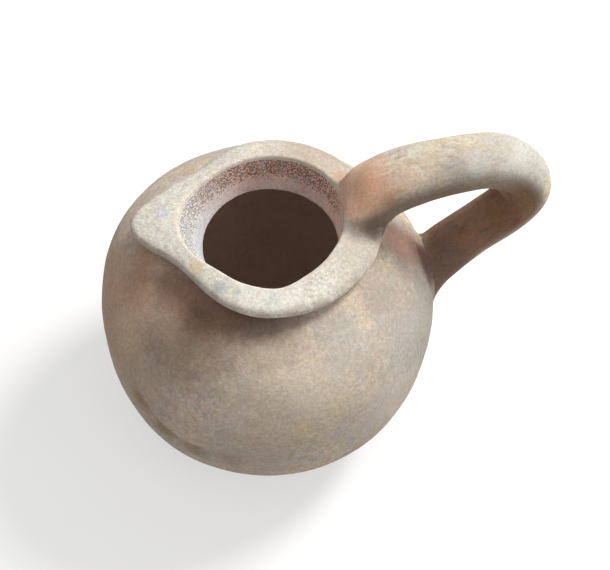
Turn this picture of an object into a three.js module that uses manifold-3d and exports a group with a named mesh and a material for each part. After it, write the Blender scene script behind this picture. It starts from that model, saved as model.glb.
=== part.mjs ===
// A hand-made clay jug: a round body on a low foot, a short neck, a broad flat lip
// drawn out into a beak, and one thick looped handle. It was made as eight clay
// pieces, which were luted together with slip before firing. Nothing on it moves.
//
// Millimetres, +Z up. The origin is the centre of the foot's resting face, on the
// axis of the body. The handle stands over +X, and the beak points towards -X.
// "Level" is a height measured from the widest part of the body. "Across" is a
// distance from the axis.

import * as THREE from "three";
import { mergeVertices } from "three/addons/utils/BufferGeometryUtils.js";
import Module from "manifold-3d";

// Body
const bodyRadius = 70; // outside, at the widest part
const bowlDepth = 62; // widest part down to where the bowl's curve would close
const bowlFullness = 2.55; // 2 is an ellipse, more is squarer
const shoulderRise = 55.5; // widest part up to where the shoulder's curve would close
const shoulderFullness = 2.6;
const bodyWall = 6;
const floorThickness = 7;
const insideFullness = 2.4; // roundness of the bowl's inside
const seamDrop = 30; // the ring where bowl and dome meet, below the widest part
const seamLap = 4; // the bowl's inner edge stands this far up inside the dome

// Foot
const footRadius = 35;
const footHeight = 4.7;
const footBevel = 1.2;

// Neck
const throatRadius = 26.8; // inside, at its narrowest
const throatBevel = 0.8;
const throatDrop = 3.4; // the lower edge hangs this far below the shoulder's inside
const throatShift = 1.9; // the throat's centre lies behind the axis, away from the beak
const boreFlare = 1.2; // 1 is a straight cone up to the mouth, more is a hollower curve
const neckWall = 6.4;
const neckRise = 1.4; // neck seen between the shoulder and the seat of the lip
const collarSpread = 4; // the collar's skirt in the shoulder, past the neck

// Lip and beak
const mouthRadius = 30.7; // inner edge of the lip
const mouthShift = 1.6; // the mouth's centre, towards the beak
const lipRadius = 43.4; // outer edge
const lipShift = 0.9; // the outer edge's centre, away from the beak
const lipHeight = 5.8; // seat up to the crest at the mouth
const lipFall = 2.4; // the top slopes down this much on its way out
const lipCrown = 1.25; // 1 is a straight slope, more is rounder
const lipEdge = 4.6; // thickness of the rounded outer edge
const crestBevel = 0.7;
const beakReach = 10.3; // the beak stands this far out past the lip
const beakSpread = 16.2; // degrees
const beakAngle = 168; // from the handle, degrees
const waistDepth = 5.2; // finger pinches beside the beak
const waistAngle = 43; // from the beak, degrees
const waistSpread = 26.7; // degrees

// Handle, on its centre line
const handleRadius = 11.4;
const handleTaper = 1.2; // it is this much thinner at the body
const rootInset = 7.2; // in from the lip's outer edge
const rootDepth = 3.8; // under the lip's crest
const rootAngle = 76; // degrees above level, as it leaves the lip
const rootThickness = 15.6; // it is pinched flatter where it stands on the lip
const rootSquareness = 4; // 2 is an oval foot on the lip, more is squarer
const crownAcross = 78; // its highest point, from the axis
const crownRise = 13.6; // above the lip's crest
const handleReach = 34.5; // its far bend, past the widest part of the body
const bendDrop = 7.3; // the far bend, below the lip's crest
const landingLevel = 13; // where it meets the body
const landingAngle = 55; // degrees below level, as it meets the body
const rootPull = 18.5; // how long each stretch keeps its direction
const crownPullIn = 21.5;
const crownPullOut = 20.5;
const bendPullIn = 3;
const bendPullOut = 14;
const landingPull = 21.5;
const rimWadLength = 17; // luting wads, along the handle
const bodyWadLength = 14;
const bodyWadFlare = 2.4; // it spreads this much at its foot

// Clearance between pieces that touch, and how finely the curves are cut
const slipGap = 0.3;
const turnSteps = 48;
const bodySteps = 10;
const lipSteps = 72;
const crownSteps = 3;
const edgeSteps = 4;
const tubeSides = 20;
const coilSteps = 22;
const wadSteps = 6;
const hair = 1e-6; // anything nearer the axis than this lies on it

const { degToRad } = THREE.MathUtils;
const wasm = await Module();
wasm.setup();

// Curves of the body: a quarter of a rounded square, in outline.
// A negative rise hangs down from the widest part.
function quarterCurve(radius, rise, fullness) {
  const share = (size, whole) => Math.min(Math.abs(size / whole), 1) ** (fullness / 2);
  const point = (turn) => [
    radius * Math.cos(turn) ** (2 / fullness),
    rise * Math.sin(turn) ** (2 / fullness),
  ];
  const turnAtLevel = (level) => Math.asin(share(level, rise));
  const turnAtAcross = (across) => Math.acos(share(across, radius));
  return {
    turnAtLevel,
    turnAtAcross,
    across: (level) => point(turnAtLevel(level))[0],
    level: (across) => point(turnAtAcross(across))[1],
    stretch: (from, to, steps = bodySteps) =>
      Array.from({ length: steps + 1 }, (_, i) => point(from + ((to - from) * i) / steps)),
  };
}

const bowlOutside = quarterCurve(bodyRadius, -bowlDepth, bowlFullness);
const shoulderOutside = quarterCurve(bodyRadius, shoulderRise, shoulderFullness);
const bowlBottom = bowlOutside.level(footRadius);
const floorLevel = bowlBottom + floorThickness;
const bowlInside = quarterCurve(bodyRadius - bodyWall, floorLevel, insideFullness);
const shoulderInside = quarterCurve(bodyRadius - bodyWall, shoulderRise - bodyWall, shoulderFullness);

// Heights of everything else follow from the body
const widestHeight = footHeight + slipGap - bowlBottom;
const neckRadius = throatRadius + neckWall;
const collarRadius = neckRadius + collarSpread;
const seatLevel = shoulderOutside.level(neckRadius) + neckRise;
const throatLevel = shoulderInside.level(throatRadius + throatBevel) - throatDrop;
const crestLevel = seatLevel + slipGap + lipHeight;
const mouthLevel = crestLevel - crestBevel;

// Turns a closed outline of [across, level] points, listed anticlockwise, about the axis.
function turned(outline) {
  const settle = (across) => (across < hair ? 0 : across);
  const points = outline.map(([across, level]) => new THREE.Vector2(settle(across), level));
  if (points[0].x > 0) points.push(points[0].clone());
  const geometry = new THREE.LatheGeometry(points, turnSteps);
  geometry.rotateX(Math.PI / 2);
  geometry.translate(0, 0, widestHeight);
  return tidied(geometry);
}

// Joins a row of equal rings into a skin. The row closes on itself, or has flat ends.
function skinned(rings, isLoop) {
  const count = rings[0].length;
  const points = rings.flat();
  const index = [];
  const quad = (a, b, c, d) => index.push(a, b, c, a, c, d);
  const spans = isLoop ? rings.length : rings.length - 1;
  for (let i = 0; i < spans; i++) {
    const here = i * count;
    const next = ((i + 1) % rings.length) * count;
    for (let j = 0; j < count; j++) {
      const k = (j + 1) % count;
      quad(here + j, next + j, next + k, here + k);
    }
  }
  if (!isLoop) {
    const last = (rings.length - 1) * count;
    const middle = (ring) =>
      ring.reduce((sum, point) => sum.add(point), new THREE.Vector3()).divideScalar(count);
    points.push(middle(rings[0]), middle(rings[rings.length - 1]));
    for (let j = 0; j < count; j++) {
      const k = (j + 1) % count;
      index.push(points.length - 2, j, k);
      index.push(points.length - 1, last + k, last + j);
    }
  }
  const geometry = new THREE.BufferGeometry().setFromPoints(points);
  geometry.setIndex(index);
  return tidied(geometry);
}

// Welds shared corners and drops the empty triangles that a turned outline has on its axis.
function tidied(geometry) {
  geometry.deleteAttribute("normal");
  geometry.deleteAttribute("uv");
  const welded = mergeVertices(geometry);
  const corners = welded.index.array;
  const kept = [];
  for (let i = 0; i < corners.length; i += 3) {
    const [a, b, c] = corners.subarray(i, i + 3);
    if (a !== b && b !== c && c !== a) kept.push(a, b, c);
  }
  welded.setIndex(kept);
  return welded;
}

function cutBy(geometry, ...cutters) {
  const solid = (shape) =>
    new wasm.Manifold(
      new wasm.Mesh({
        numProp: 3,
        vertProperties: new Float32Array(shape.attributes.position.array),
        triVerts: new Uint32Array(shape.index.array),
      }),
    );
  const rest = cutters.reduce((left, cutter) => left.subtract(solid(cutter)), solid(geometry));
  const { vertProperties, triVerts } = rest.getMesh();
  const result = new THREE.BufferGeometry();
  result.setAttribute("position", new THREE.BufferAttribute(vertProperties, 3));
  result.setIndex(new THREE.BufferAttribute(triVerts, 1));
  return result;
}

// Foot: a flat pad with a bevelled lower edge
function footDisc() {
  const top = bowlBottom - slipGap;
  const bottom = top - footHeight;
  return turned([
    [0, bottom],
    [footRadius - footBevel, bottom],
    [footRadius, bottom + footBevel],
    [footRadius, top],
    [0, top],
  ]);
}

// Bowl and dome meet on a slanted lap, which rises from the outside to the inside
function seamLine(raise) {
  const low = -seamDrop + raise;
  const high = low + seamLap;
  return { outerTurn: bowlOutside.turnAtLevel(low), innerTurn: bowlInside.turnAtLevel(high) };
}

function baseBowl() {
  const seam = seamLine(0);
  return turned([
    [0, bowlBottom],
    ...bowlOutside.stretch(bowlOutside.turnAtAcross(footRadius), seam.outerTurn),
    ...bowlInside.stretch(seam.innerTurn, Math.PI / 2),
  ]);
}

// The collar's skirt lies in a bevelled hole in the shoulder
const holeTop = [collarRadius, shoulderOutside.level(collarRadius)];
const holeFoot = [neckRadius, shoulderInside.level(neckRadius)];
const skirtLean = Math.atan2(holeTop[1] - holeFoot[1], holeTop[0] - holeFoot[0]);
const skirtGap = slipGap / Math.sin(skirtLean);

function bodyDome() {
  const seamLift = slipGap * Math.hypot(1, seamLap / bodyWall);
  const seam = seamLine(seamLift);
  return turned([
    ...bowlOutside.stretch(seam.outerTurn, 0, bodySteps / 2),
    ...shoulderOutside.stretch(0, shoulderOutside.turnAtAcross(collarRadius)).slice(1),
    ...shoulderInside.stretch(shoulderInside.turnAtAcross(neckRadius), 0),
    ...bowlInside.stretch(0, seam.innerTurn, bodySteps / 2).slice(1),
  ]);
}

// The inside of the neck widens upwards and leans towards the beak
function bore(angle, level) {
  const foot = throatLevel + throatBevel;
  const part = THREE.MathUtils.clamp((level - foot) / (mouthLevel - foot), 0, 1);
  const round = THREE.MathUtils.lerp(throatRadius, mouthRadius, part ** boreFlare);
  const shift = THREE.MathUtils.lerp(-throatShift, mouthShift, part);
  return round + shift * Math.cos(degToRad(angle - beakAngle));
}

// Joins upright slices, made for each angle round the axis, into a ring
function ringed(sliceAt, steps) {
  const rings = [];
  for (let i = 0; i < steps; i++) {
    const angle = (360 * i) / steps;
    const [x, y] = [Math.cos(degToRad(angle)), Math.sin(degToRad(angle))];
    const lift = ([across, level]) => new THREE.Vector3(across * x, across * y, level + widestHeight);
    rings.push(sliceAt(angle).map(lift));
  }
  return skinned(rings, true);
}

function neckCollar() {
  const skirtTop = [holeTop[0] - skirtGap, holeTop[1]];
  const skirtFoot = [holeFoot[0] - skirtGap, holeFoot[1]];
  const boreFoot = throatLevel + throatBevel;
  const slice = (angle) => [
    [bore(angle, boreFoot) + throatBevel, throatLevel],
    [skirtFoot[0] - throatBevel, throatLevel],
    skirtFoot,
    skirtTop,
    [(skirtTop[0] + neckRadius) / 2, shoulderOutside.level(neckRadius)],
    [neckRadius, seatLevel],
    [bore(angle, seatLevel), seatLevel],
    [bore(angle, (seatLevel + boreFoot) / 2), (seatLevel + boreFoot) / 2],
    [bore(angle, boreFoot), boreFoot],
  ];
  return ringed(slice, turnSteps);
}

// The lip's two edges, as seen from above, by the angle from the handle
const hump = (angle, centre, spread) => {
  const away = ((((angle - centre) % 360) + 540) % 360) - 180;
  return Math.exp(-((away / spread) ** 2));
};

function lipEdges(angle) {
  const pinch =
    hump(angle, beakAngle - waistAngle, waistSpread) + hump(angle, beakAngle + waistAngle, waistSpread);
  const beak = hump(angle, beakAngle, beakSpread);
  const offside = Math.cos(degToRad(angle - beakAngle));
  return {
    inner: bore(angle, mouthLevel),
    outer: lipRadius - lipShift * offside + beakReach * beak - waistDepth * pinch,
  };
}

// One slice through the lip. Grown, it is the slice of a cutter that clears the lip.
function lipSlice(angle, grown = 0) {
  const { inner, outer } = lipEdges(angle);
  const seat = seatLevel + slipGap;
  const roundness = lipEdge / 2;
  const shoulderIn = inner + crestBevel;
  const topAt = (part) => [
    THREE.MathUtils.lerp(shoulderIn, outer - roundness, part),
    crestLevel - lipFall * part ** lipCrown,
  ];
  const slice = [
    [neckRadius, seat - grown],
    [outer - roundness, crestLevel - lipFall - lipEdge - grown],
  ];
  for (let i = 1; i < edgeSteps; i++) {
    const turn = Math.PI * (i / edgeSteps - 0.5);
    slice.push([
      outer - roundness + (roundness + grown) * Math.cos(turn),
      crestLevel - lipFall - roundness + (roundness + grown) * Math.sin(turn),
    ]);
  }
  for (let i = crownSteps; i >= 0; i--) {
    const [across, level] = topAt(i / crownSteps);
    slice.push([across, level + grown]);
  }
  slice.push([inner - grown, mouthLevel]);
  slice.push([bore(angle, seat) - grown, seat - grown]);
  return slice;
}

const spoutedRim = (grown) => ringed((angle) => lipSlice(angle, grown), lipSteps);

// The handle's centre line: off the lip, over the crown, round the far bend, into the body
function handleLine() {
  const spot = (across, level) => new THREE.Vector3(across, 0, level + widestHeight);
  const heading = (degrees) =>
    new THREE.Vector3(Math.cos(degToRad(degrees)), 0, Math.sin(degToRad(degrees)));
  const root = spot(lipRadius - rootInset, crestLevel - rootDepth);
  const crown = spot(crownAcross, crestLevel + crownRise);
  const bend = spot(bodyRadius + handleReach, crestLevel - bendDrop);
  const landing = spot(shoulderOutside.across(landingLevel), landingLevel);
  const inwards = heading(180 + landingAngle);
  const footRound = handleRadius - handleTaper + bodyWadFlare;
  const buried = footRound * (1 + Math.tan(degToRad(landingAngle)));
  const stretch = (from, out, outPull, to, home, homePull) =>
    new THREE.CubicBezierCurve3(
      from,
      from.clone().addScaledVector(out, outPull),
      to.clone().addScaledVector(home, -homePull),
      to,
    );
  const line = new THREE.CurvePath();
  line.add(stretch(root, heading(rootAngle), rootPull, crown, heading(0), crownPullIn));
  line.add(stretch(crown, heading(0), crownPullOut, bend, heading(-90), bendPullIn));
  line.add(stretch(bend, heading(-90), bendPullOut, landing, inwards, landingPull));
  const landingLength = line.getLength();
  line.add(new THREE.LineCurve3(landing, landing.clone().addScaledVector(inwards, buried)));
  line.updateArcLengths();
  return { line, landingLength, fullLength: line.getLength() };
}

const { line: handlePath, landingLength, fullLength } = handleLine();

// A tube along the handle's line, between two lengths from the root. It is round,
// but towards its root on the lip it grows thinner and squarer.
function handleTube(from, to, steps, flareAt = () => 0) {
  const swell = (wave, squareness) => Math.sign(wave) * Math.abs(wave) ** (2 / squareness);
  const rings = [];
  for (let i = 0; i <= steps; i++) {
    const length = THREE.MathUtils.lerp(from, to, i / steps);
    const centre = handlePath.getPoint(length / fullLength);
    const ahead = handlePath.getTangent(length / fullLength);
    const side = new THREE.Vector3(0, 1, 0);
    const under = new THREE.Vector3().crossVectors(side, ahead);
    const taper = handleTaper * Math.min(length / landingLength, 1);
    const halfWidth = handleRadius - taper + flareAt(length);
    const rounding = THREE.MathUtils.smoothstep(length, 0, rimWadLength);
    const halfThickness = THREE.MathUtils.lerp(rootThickness / 2, halfWidth, rounding);
    const squareness = THREE.MathUtils.lerp(rootSquareness, 2, rounding);
    rings.push(
      Array.from({ length: tubeSides }, (_, k) => {
        const turn = (2 * Math.PI * k) / tubeSides;
        return centre
          .clone()
          .addScaledVector(side, halfWidth * swell(Math.cos(turn), squareness))
          .addScaledVector(under, halfThickness * swell(Math.sin(turn), squareness));
      }),
    );
  }
  return skinned(rings, false);
}

const bodyWadStart = landingLength - bodyWadLength;

function handleCoil() {
  return handleTube(rimWadLength + slipGap, bodyWadStart - slipGap, coilSteps);
}

// The upper wad is pressed onto the lip, and trimmed flush with the mouth
function handleRimWad() {
  const mouthTop = crestLevel + crownRise + handleRadius;
  const mouth = turned([
    [0, throatLevel],
    [mouthRadius, throatLevel],
    [mouthRadius, mouthTop],
    [0, mouthTop],
  ]);
  const beakWay = degToRad(beakAngle);
  mouth.translate(mouthShift * Math.cos(beakWay), mouthShift * Math.sin(beakWay), 0);
  return cutBy(handleTube(0, rimWadLength, wadSteps), spoutedRim(slipGap), mouth);
}

// The lower wad is pressed onto the shoulder
function handleBodyWad() {
  const flare = (length) =>
    bodyWadFlare * THREE.MathUtils.clamp((length - bodyWadStart) / bodyWadLength, 0, 1) ** 2;
  const bowl = quarterCurve(bodyRadius + slipGap, -bowlDepth - slipGap, bowlFullness);
  const shoulder = quarterCurve(bodyRadius + slipGap, shoulderRise + slipGap, shoulderFullness);
  const body = turned([
    ...bowl.stretch(Math.PI / 2, 0),
    ...shoulder.stretch(0, Math.PI / 2).slice(1),
  ]);
  return cutBy(handleTube(bodyWadStart, fullLength, wadSteps * 2, flare), body);
}

// Colours of the fired clay, by piece
const clay = (color) => new THREE.MeshStandardMaterial({ color, roughness: 0.9, metalness: 0 });
const bodyClay = clay("#b9a68e");
const lipClay = clay("#d3c9b6");
const throatClay = clay("#a98f7d");
const handleClay = clay("#c7b298");
const wadClay = clay("#bd957a");

function piece(name, geometry, material) {
  geometry.computeVertexNormals();
  const mesh = new THREE.Mesh(geometry, material);
  mesh.name = name;
  return mesh;
}

const jug = new THREE.Group();
jug.add(
  piece("foot_disc", footDisc(), bodyClay),
  piece("base_bowl", baseBowl(), bodyClay),
  piece("body_dome", bodyDome(), bodyClay),
  piece("neck_collar", neckCollar(), throatClay),
  piece("spouted_rim", spoutedRim(0), lipClay),
  piece("handle_rim_wad", handleRimWad(), wadClay),
  piece("handle_coil", handleCoil(), handleClay),
  piece("handle_body_wad", handleBodyWad(), wadClay),
);

export default jug;
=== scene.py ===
import math

import bpy
import numpy as np
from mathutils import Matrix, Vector, noise


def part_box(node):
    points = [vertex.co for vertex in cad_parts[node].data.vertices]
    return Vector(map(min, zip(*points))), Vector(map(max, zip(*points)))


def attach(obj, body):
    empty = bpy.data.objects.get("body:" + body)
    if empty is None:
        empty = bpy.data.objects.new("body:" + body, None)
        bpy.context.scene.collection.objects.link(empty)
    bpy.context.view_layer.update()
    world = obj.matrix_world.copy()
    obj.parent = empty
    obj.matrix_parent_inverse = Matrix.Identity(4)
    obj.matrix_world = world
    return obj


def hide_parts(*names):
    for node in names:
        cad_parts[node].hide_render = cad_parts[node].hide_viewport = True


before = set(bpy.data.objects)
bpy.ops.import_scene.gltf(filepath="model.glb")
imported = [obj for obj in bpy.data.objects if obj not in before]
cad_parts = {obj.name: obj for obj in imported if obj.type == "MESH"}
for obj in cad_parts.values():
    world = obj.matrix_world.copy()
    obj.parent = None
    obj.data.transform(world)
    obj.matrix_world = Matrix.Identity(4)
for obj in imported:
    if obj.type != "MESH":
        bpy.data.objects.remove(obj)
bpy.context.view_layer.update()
print("frame loaded")

# A hand-made clay jug. Metres and degrees. A level is a height from the widest part of the body,
# across is a distance from the axis, and an angle runs anticlockwise from the handle.

slipGap = 0.0003  # the CAD pieces stand this far apart, here they touch
tiny = 1e-9  # keeps divisions and the ends of curves safe


def smooth(value, low, high):
    part = np.clip((value - low) / (high - low), 0, 1)
    return part * part * (3 - 2 * part)


# 1 at the centre and less to both sides. A higher square gives it a flatter top.
def hump(angle, centre, spread, square=2):
    away = (angle - centre + 540) % 360 - 180
    return np.exp(-(np.abs(away / spread) ** square))


# A curve from the first point to the last, pulled by those between.
def bezier(points, steps):
    t = np.linspace(0, 1, steps + 1)[:, None]
    last = len(points) - 1
    weights = [math.comb(last, i) * t**i * (1 - t) ** (last - i) for i in range(last + 1)]
    return sum(weight * np.array(point) for weight, point in zip(weights, points))


# An outline that starts level at the widest part and closes on the axis.
def quarterCurve(radius, rise, fullness, steps=300):
    turn = np.linspace(0, np.pi / 2, steps + 1)
    across = radius * np.cos(turn) ** (2 / fullness)
    return np.column_stack([across, rise * np.sin(turn) ** (2 / fullness)])


def levelAt(across, radius, rise, fullness):
    return rise * (1 - (across / radius) ** fullness) ** (1 / fullness)


def acrossAt(level, radius, rise, fullness):
    return radius * (1 - abs(level / rise) ** fullness) ** (1 / fullness)


def runAlong(line):
    return np.concatenate([[0], np.cumsum(np.linalg.norm(np.diff(line, axis=0), axis=1))])


def interpolated(at, run, line):
    return np.column_stack([np.interp(at, run, column) for column in line.T])


# The same line with points at even steps.
def spaced(line, spacing):
    run = runAlong(line)
    return interpolated(np.linspace(0, run[-1], max(2, round(run[-1] / spacing) + 1)), run, line)


def straight(start, end, spacing):
    return spaced(np.array([start, end], float), spacing)


# A stretch of a quarter curve, between two distances from the axis (column 0) or two levels (column 1).
def stretchOf(curve, spacing, column, start, end):
    line = quarterCurve(*curve)
    known = line[np.argsort(line[:, column])]
    low, high = min(start, end), max(start, end)
    inner = known[(known[:, column] > low + tiny) & (known[:, column] < high - tiny)]
    if start > end:
        inner = inner[::-1]
    ends = interpolated([start, end], known[:, column], known)
    return spaced(np.vstack([ends[:1], inner, ends[1:]]), spacing)


foot = dict(
    radius=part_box("foot_disc")[1].x,
    height=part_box("foot_disc")[1].z,
    round=0.0015,
    flare=0.0006,  # it spreads a little where it meets the bowl
    hollow=0.0005,  # the underside is slightly hollow
    hollowShare=0.72,
    hollowRim=0.4,  # what is left of the hollow at its rim
    rimStep=0.001,  # from the rim out to the resting face
    rimEnd=0.0002,  # from that face to the rounded corner
    sideFoot=(0.0001, 0.0022),  # out from the edge and up from the floor, where the side starts
    topInset=(0.0004, 0.00002),
    cornerRows=6,
    spacings=(0.002, 0.0015, 0.0008),  # hollow, resting face, side
)

body = dict(
    radius=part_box("body_dome")[1].x,
    bowlDepth=0.062,  # down to where the bowl's curve would close
    bowlFullness=2.55,  # 2 is an ellipse, more is squarer
    shoulderRise=0.0555,
    shoulderFullness=2.6,
    wall=0.006,
    floor=0.007,
    insideFullness=2.4,
    seamDrop=0.030,  # the ledge on the lower belly, where bowl and dome meet
    seamLap=0.004,
    shrink=0.0004,  # room for the unevenness inside the real size
    columns=400,
    spacing=0.0011,
    insideSpacing=0.0033,
    floorSpacing=0.004,
    sharpAngle=48,
)

outRadius = body["radius"] - body["shrink"]
inRadius = body["radius"] - body["wall"]
bowlOut = (outRadius, -body["bowlDepth"], body["bowlFullness"])
shoulderOut = (outRadius, body["shoulderRise"], body["shoulderFullness"])
shoulderIn = (inRadius, body["shoulderRise"] - body["wall"], body["shoulderFullness"])
bowlBottom = levelAt(foot["radius"], body["radius"], *bowlOut[1:])
bowlIn = (inRadius, bowlBottom + body["floor"], body["insideFullness"])
seamLow = -body["seamDrop"]
seamHigh = seamLow + body["seamLap"]
widest = foot["height"] + slipGap - bowlBottom  # height of the widest part above the floor
angles = np.arange(body["columns"]) * 360 / body["columns"]


# Rings of distances from the axis and heights, one value for each angle.
def spun(across, height):
    across, height, turn = np.broadcast_arrays(across, height, np.radians(angles))
    return np.stack([across * np.cos(turn), across * np.sin(turn), height], axis=-1)


def ringed(across, level):
    return spun(across, level + widest)


def turned(line):
    return ringed(line[:, :1], line[:, 1:])


# Rows on the axis become small rings, so that every face keeps its corners.
def closedOnAxis(grid):
    inset = 0.0002
    for row in (0, -1):
        grid[row] = spun(inset, grid[row, :, 2])
    return grid


# About how far a point lies outside the body.
def bodyDistance(points):
    across = np.maximum(np.hypot(points[..., 0], points[..., 1]), tiny)
    level = points[..., 2] - widest
    rise = np.where(level < 0, body["bowlDepth"], body["shoulderRise"])
    full = np.where(level < 0, body["bowlFullness"], body["shoulderFullness"])
    out = (across / outRadius) ** full
    up = (np.abs(level) / rise) ** full
    size = (out + up) ** (1 / full)
    slope = size ** (1 - full) * np.hypot(out / across, up / np.maximum(np.abs(level), tiny))
    return (size - 1) / slope


# The marks of hand work. All pieces share them, so they still meet.
handWork = dict(
    leans=[(0, 0.026, 0.0005), (0.036, 0.013, -0.0009)],  # level, reach, how far towards image right
    upright=(0.072, 0.080),  # what lies this far from the axis doesn't lean
    bumps=[(0.045, 0.00045), (0.016, 0.00022), (0.0055, 0.00009)],  # size, how far they push
    place=7.3,  # where the noise is read, further on for each size
    placeStep=3.1,
    seed=5,
)
noise.seed_set(handWork["seed"])  # or else the vector noise follows the clock


def handMade(points):
    level = points[..., 2] - widest
    lean = sum(far * np.exp(-(((level - middle) / reach) ** 2)) for middle, reach, far in handWork["leans"])
    lean = lean * (1 - smooth(np.hypot(points[..., 0], points[..., 1]), *handWork["upright"]))
    turn = math.radians(view["azimuth"])
    moved = points + lean[..., None] * np.array([math.cos(turn), math.sin(turn), 0])
    for number, (size, reach) in enumerate(handWork["bumps"]):
        flat = points.reshape(-1, 3) / size + handWork["place"] + number * handWork["placeStep"]
        moved = moved + reach * np.array([noise.noise_vector(p) for p in flat.tolist()]).reshape(points.shape)
    moved[..., 2] = np.maximum(moved[..., 2], 0)
    return moved


# A closed mesh from rows of points, of which bands gives the materials. Without caps it is a loop.
def makePiece(name, node, grid, bands, caps=False):
    grid = handMade(grid)
    rows, columns = grid.shape[:2]
    points = grid.reshape(-1, 3)
    spans = rows - 1 if caps else rows
    here = (np.arange(spans)[:, None] * columns + np.arange(columns)).ravel()
    aside = (np.arange(spans)[:, None] * columns + (np.arange(columns) + 1) % columns).ravel()
    ahead = (here + columns) % (rows * columns)
    aheadAside = (aside + columns) % (rows * columns)
    faces = np.column_stack([here, aside, aheadAside, ahead]).tolist()
    faceBand = np.repeat(np.arange(spans), columns).tolist()
    if caps:
        points = np.vstack([points, grid[0].mean(axis=0), grid[-1].mean(axis=0)])
        for row, middle in ((0, rows * columns), (rows - 1, rows * columns + 1)):
            for i in range(columns):
                one, two = row * columns + i, row * columns + (i + 1) % columns
                faces.append((two, one, middle) if row == 0 else (one, two, middle))
                faceBand.append(min(row, spans - 1))
    mesh = bpy.data.meshes.new(name)
    mesh.from_pydata(points.tolist(), [], faces)
    used = list(dict.fromkeys(bands))
    for band in used:
        mesh.materials.append(materials[band])
    mesh.polygons.foreach_set("material_index", [used.index(bands[row]) for row in faceBand])
    mesh.polygons.foreach_set("use_smooth", [True] * len(faces))
    corners = points[[face[:3] for face in faces]]
    volume = np.einsum("ij,ij->i", corners[:, 0], np.cross(corners[:, 1], corners[:, 2])).sum()
    if volume < 0:
        mesh.flip_normals()
    mesh.set_sharp_from_angle(angle=math.radians(body["sharpAngle"]))
    piece = bpy.data.objects.new(name, mesh)
    bpy.context.scene.collection.objects.link(piece)
    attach(piece, "root")
    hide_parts(node)
    return piece


# Gives each point of a piece a value or a vector that its material reads.
def mark(piece, name, values):
    kind, key = ("FLOAT", "value") if values.ndim == 1 else ("FLOAT_VECTOR", "vector")
    attribute = piece.data.attributes.new(name, kind, "POINT")
    attribute.data.foreach_set(key, values.astype(np.float32).ravel())


# How far a surface rises towards a neighbour at this distance, so that both run into one hollow curve.
def filletLift(distance, reach):
    dive = 0.05  # past the middle of the hollow it sinks gently into the neighbour
    last = 0.09
    lift = reach * (1 - np.sqrt(np.clip(distance / reach, last, 1))) ** 2
    return lift - dive * np.clip(reach / 4 - distance, 0, reach)


def raised(points, outward, distance, reachAt, tries=5):
    lift = np.zeros(points.shape[:-1])
    for _ in range(tries):
        moved = points + outward * lift[..., None]
        lift = (lift + filletLift(distance(moved), reachAt(moved))) / 2
    return points + outward * lift[..., None]


def makeFoot():
    top, bottom, edge, soft = bowlBottom, -widest, foot["radius"], foot["round"]
    turn = np.linspace(0, np.pi / 2, foot["cornerRows"])
    rim, rimLevel = foot["hollowShare"] * edge, bottom + foot["hollow"] * foot["hollowRim"]
    out, up = foot["sideFoot"]
    inset, over = foot["topInset"]
    hollowSpacing, restSpacing, sideSpacing = foot["spacings"]
    outline = np.vstack([
        straight((0, bottom + foot["hollow"]), (rim, rimLevel), hollowSpacing),
        straight((rim + foot["rimStep"], bottom), (edge - soft - foot["rimEnd"], bottom), restSpacing),
        np.column_stack([edge - soft + soft * np.sin(turn), bottom + soft * (1 - np.cos(turn))]),
        straight((edge + out, bottom + up), (edge + foot["flare"], top), sideSpacing),
        straight((edge - inset, top + over), (0, top + over), body["floorSpacing"]),
    ])
    grid = closedOnAxis(turned(outline))
    makePiece("foot", "foot_disc", grid, ["body"] * len(grid), caps=True)


# The outside of the belly. Waves round it are given by how far, how many, and where they start.
belly = dict(
    ringPitch=0.0056,
    ringDepth=0.00017,
    ringFade=(-0.022, 0.010),
    ringWaves=[(0.0011, 1, 0.6), (0.0006, 2, 2.1), (0.0003, 5, 0)],
    ringPatches=(0.65, 0.35, 2.3, 160),  # mean depth, change, and how fast it changes round and up
    ledgeDepth=0.00055,
    ledgeSoft=0.0016,
    beadHeight=0.00016,
    beadReach=0.0018,
    beadRise=0.0016,
)

# A low step where the clay was dragged, from the beak's side down to the near side
scarp = dict(
    depth=0.0013,
    soft=0.0014,
    length=0.022,
    level=-0.0040,
    climb=0.024,
    peak=199,
    spread=15,
    start=(199, 210),
    end=(246, 264),
    waves=[(0.0006, 9, 0), (0.0004, 23, 1.0)],
)


def wavy(waves):
    return sum(far * np.sin(count * np.radians(angles) + start) for far, count, start in waves)


def scarpDepth(level):
    climb = scarp["climb"] * hump(angles, scarp["peak"], scarp["spread"])
    line = scarp["level"] + wavy(scarp["waves"]) + climb
    step = 1 - smooth(level, line - scarp["soft"], line)
    back = smooth(level, line - scarp["length"], line - 2 * scarp["soft"])
    along = smooth(angles, *scarp["start"]) * (1 - smooth(angles, *scarp["end"]))
    return scarp["depth"] * step * back * along


# How far the belly's surface lies under its smooth outline: throwing rings, the ledge with a bead of
# clay pressed out of it, and the step.
def bellyRelief(level):
    height = level + wavy(belly["ringWaves"])
    mean, change, around, upwards = belly["ringPatches"]
    patchy = mean + change * np.sin(around * np.radians(angles) + upwards * height)
    fade = 1 - smooth(height, *belly["ringFade"])
    rings = fade * patchy * np.sin(2 * np.pi * height / belly["ringPitch"])
    ledge = belly["ledgeDepth"] * (1 - smooth(height, seamLow - belly["ledgeSoft"], seamLow))
    bead = np.exp(-(((height - seamLow - belly["beadRise"]) / belly["beadReach"]) ** 2))
    return belly["ringDepth"] * (rings + 1) + ledge - belly["beadHeight"] * bead + scarpDepth(level)


# Rows of the body's outside, with its relief.
def wornBelly(stretch):
    level = stretch[:, 1:] + 0 * angles
    slope = np.gradient(stretch, axis=0)
    facingOut = np.abs(slope[:, 1]) / np.hypot(slope[:, 0], slope[:, 1])
    return ringed(stretch[:, :1] - bellyRelief(level) * facingOut[:, None], level)


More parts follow.
